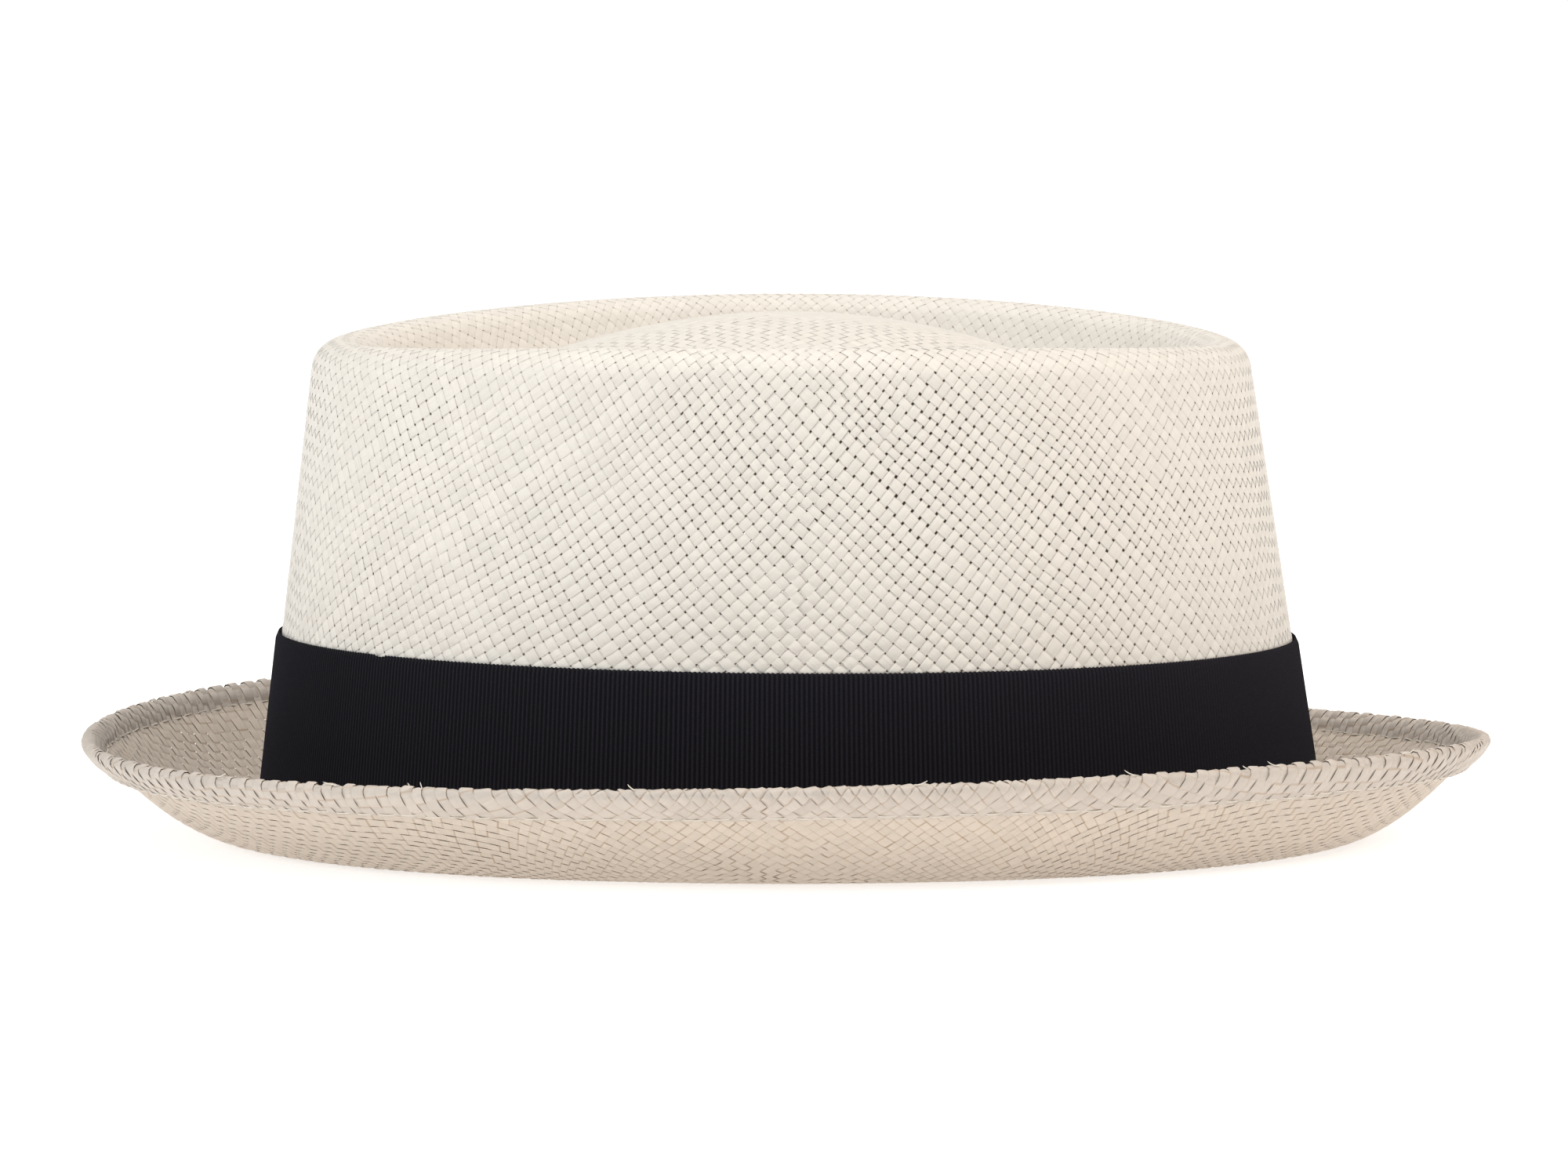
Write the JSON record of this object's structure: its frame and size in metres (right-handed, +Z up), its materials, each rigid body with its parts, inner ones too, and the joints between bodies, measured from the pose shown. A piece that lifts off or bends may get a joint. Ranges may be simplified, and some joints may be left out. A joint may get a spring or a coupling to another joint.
{
  "type": "porkpie hat",
  "caption": "Woven straw porkpie hat: tapered crown with a rounded crest, ring channel and low dome, narrow upturned brim with a turned-under hem, and a plain dark ribbon band.",
  "frame": {"origin": "middle of the hat's box, on the flat ring where the brim leaves the crown, which the hat stands on", "axes": "+X to the front of the hat, +Y to the wearer's left, +Z up"},
  "size_m": [0.271, 0.2466, 0.1013],
  "materials": {
    "straw": "plain weave of flat off-white straw strands, satin, warmer under the brim",
    "ribbon": "black grosgrain with fine upright ribs, matt with a faint sheen"
  },
  "bodies": {
    "root": {"straw_body": "straw", "ribbon_band": "ribbon"}
  },
  "joints": []
}
